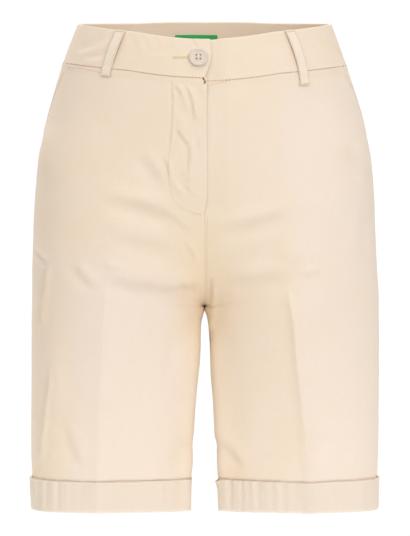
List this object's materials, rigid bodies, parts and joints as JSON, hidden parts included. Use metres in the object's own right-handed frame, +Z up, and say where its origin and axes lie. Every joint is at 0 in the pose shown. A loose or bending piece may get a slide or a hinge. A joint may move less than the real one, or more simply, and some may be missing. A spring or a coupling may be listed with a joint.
{
  "type": "bermuda shorts",
  "caption": "Women's knee-length cotton twill bermuda shorts with slanted front pockets, buttoned waistband, belt loops, zip fly, pressed creases and turned-up hems, hollow as worn",
  "frame": {"origin": "middle of the waist, level with the waistband's middle at the sides, where the wearer's waist carries the shorts", "axes": "Z up along the body, front faces -Y, X across the body with the wearer's right at -X"},
  "size_m": [0.3568, 0.2412, 0.5046],
  "materials": {
    "cotton_twill": "piece-dyed stretch cotton twill, pressed, matt",
    "cotton_pocketing": "plain woven cotton pocketing, matt",
    "zip_tape": "woven polyester zip tape with its closed coil",
    "zip_metal": "lacquered brass slider",
    "button_resin": "turned polyester resin, satin polish",
    "label_satin": "woven satin ribbon, bare"
  },
  "bodies": {
    "root": {"front_right": "cotton_twill", "front_left": "cotton_twill", "back_right": "cotton_twill", "back_left": "cotton_twill", "pocket_facing_right": "cotton_twill", "pocket_facing_left": "cotton_twill", "pocket_bag_right": "cotton_pocketing", "pocket_bag_left": "cotton_pocketing", "waistband_right": "cotton_twill", "waistband_left": "cotton_twill", "fly_shield": "cotton_twill", "fly_zip": "zip_tape", "zip_slider": "zip_metal", "turn_up_right": "cotton_twill", "turn_up_left": "cotton_twill", "belt_loop_front_right": "cotton_twill", "belt_loop_front_left": "cotton_twill", "belt_loop_back_right": "cotton_twill", "belt_loop_back_left": "cotton_twill", "belt_loop_centre_back": "cotton_twill", "waist_button": "button_resin", "waist_label": "label_satin"}
  },
  "joints": []
}
